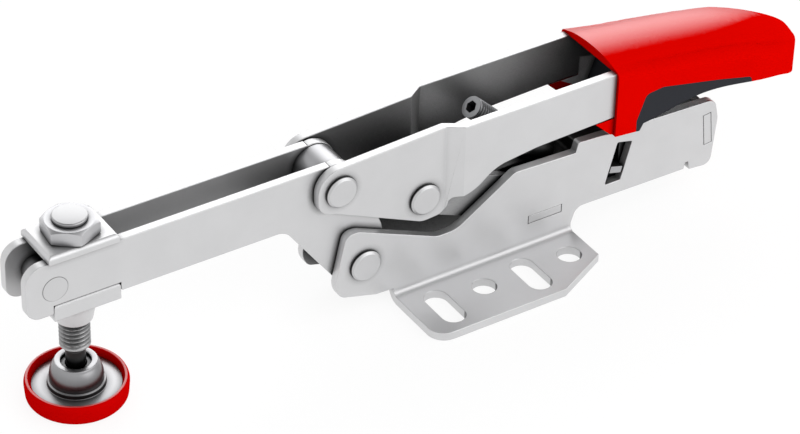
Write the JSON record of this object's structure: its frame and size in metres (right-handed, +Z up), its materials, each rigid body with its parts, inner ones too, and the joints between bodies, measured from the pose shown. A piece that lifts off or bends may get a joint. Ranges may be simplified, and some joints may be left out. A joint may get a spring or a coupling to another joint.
{
  "type": "horizontal toggle clamp",
  "caption": "Horizontal toggle clamp with flanged base, forked arm, swivel-foot spindle, red grip handle and self-adjusting wedge slide.",
  "frame": {"origin": "on the bench plane, in the middle of the four round mounting holes", "axes": "+X from the pressure spindle to the grip, +Z up from the bench, -Y the near side"},
  "size_m": [0.2378, 0.0612, 0.0557],
  "materials": {
    "zinc_steel": "zinc plated, satin",
    "rivet_steel": "pressed, satin",
    "bright_steel": "turned, bright",
    "thread_steel": "rolled thread",
    "spring_steel": "bright",
    "red_plastic": "satin moulded",
    "dark_plastic": "soft moulded",
    "red_cap": "soft moulded"
  },
  "bodies": {
    "base": {"base_plate_near": "zinc_steel", "base_plate_far": "zinc_steel", "front_tie": "zinc_steel", "rear_tie": "zinc_steel", "arm_pivot_rivet": "rivet_steel", "arm_pivot_bush": "bright_steel"},
    "arm": {"arm_plate_near": "zinc_steel", "arm_plate_far": "zinc_steel", "tip_rivet": "rivet_steel", "tip_spacer": "bright_steel", "saddle": "zinc_steel", "spindle_carrier": "zinc_steel"},
    "handle": {"handle_plate_near": "zinc_steel", "handle_plate_far": "zinc_steel", "handle_rivet": "rivet_steel", "handle_bush": "bright_steel", "link_rivet_near": "rivet_steel", "link_rivet_far": "rivet_steel", "grip_shell": "red_plastic", "grip_insert": "dark_plastic"},
    "link": {"link_plate_near": "zinc_steel", "link_plate_far": "zinc_steel", "link_pin": "bright_steel"},
    "slide": {"adjusting_slide": "zinc_steel", "pressure_spring": "spring_steel"},
    "wedge": {"wedge_bar": "bright_steel"},
    "screw": {"adjusting_screw": "thread_steel"},
    "ring": {"snap_ring": "spring_steel"},
    "spindle": {"spindle": "thread_steel"},
    "foot": {"swivel_foot": "bright_steel", "foot_cap": "red_cap"},
    "nut": {"lock_nut": "bright_steel"}
  },
  "joints": [
    {"name": "arm_pivot", "type": "hinge", "parent": "base", "child": "arm", "pos_m": [-0.0449, 0, 0.0158], "axis": [0, 1, 0], "range_deg": [0, 70]},
    {"name": "handle_pivot", "type": "hinge", "parent": "arm", "child": "handle", "pos_m": [-0.0525, 0, 0.0418], "axis": [0, 1, 0], "range_deg": [-128, 0]},
    {"name": "link_pivot", "type": "hinge", "parent": "handle", "child": "link", "pos_m": [-0.0271, 0, 0.0301], "axis": [0, 1, 0], "range_deg": [0, 130]},
    {"name": "slide_travel", "type": "slide", "parent": "base", "child": "slide", "axis": [1, 0, 0], "range_m": [0, 0.00157], "stiffness_N_per_m": 2000, "springref_m": -0.001, "deforming": ["pressure_spring"]},
    {"name": "wedge_travel", "type": "slide", "parent": "base", "child": "wedge", "axis": [0.2622, 0, 0.965], "range_m": [0, 0.0061]},
    {"name": "screw_turn", "type": "hinge", "parent": "slide", "child": "screw", "pos_m": [-0.0071, 0, 0.0462], "axis": [0.723, 0, -0.6909], "continuous": true},
    {"name": "spindle_height", "type": "slide", "parent": "arm", "child": "ring", "axis": [0, 0, 1], "range_m": [0, 0.012]},
    {"name": "spindle_turn", "type": "hinge", "parent": "ring", "child": "spindle", "pos_m": [-0.1241, 0, 0.0074], "axis": [0, 0, 1], "range_deg": [0, 3457]},
    {"name": "foot_tilt", "type": "hinge", "parent": "ring", "child": "foot", "pos_m": [-0.1241, 0, 0.0074], "axis": [0, 1, 0], "range_deg": [-6, 6]},
    {"name": "lock_nut_turn", "type": "hinge", "parent": "arm", "child": "nut", "pos_m": [-0.1241, 0, 0.0528], "axis": [0, 0, 1], "continuous": true}
  ],
  "couplings": [
    {"joint": "handle_pivot", "follows": "arm_pivot", "ratio": -1.8229},
    {"joint": "link_pivot", "follows": "arm_pivot", "ratio": 1.8514},
    {"joint": "wedge_travel", "follows": "slide_travel", "ratio": 3.814},
    {"joint": "spindle_turn", "follows": "spindle_height", "rad_per_m": 5026.5}
  ]
}
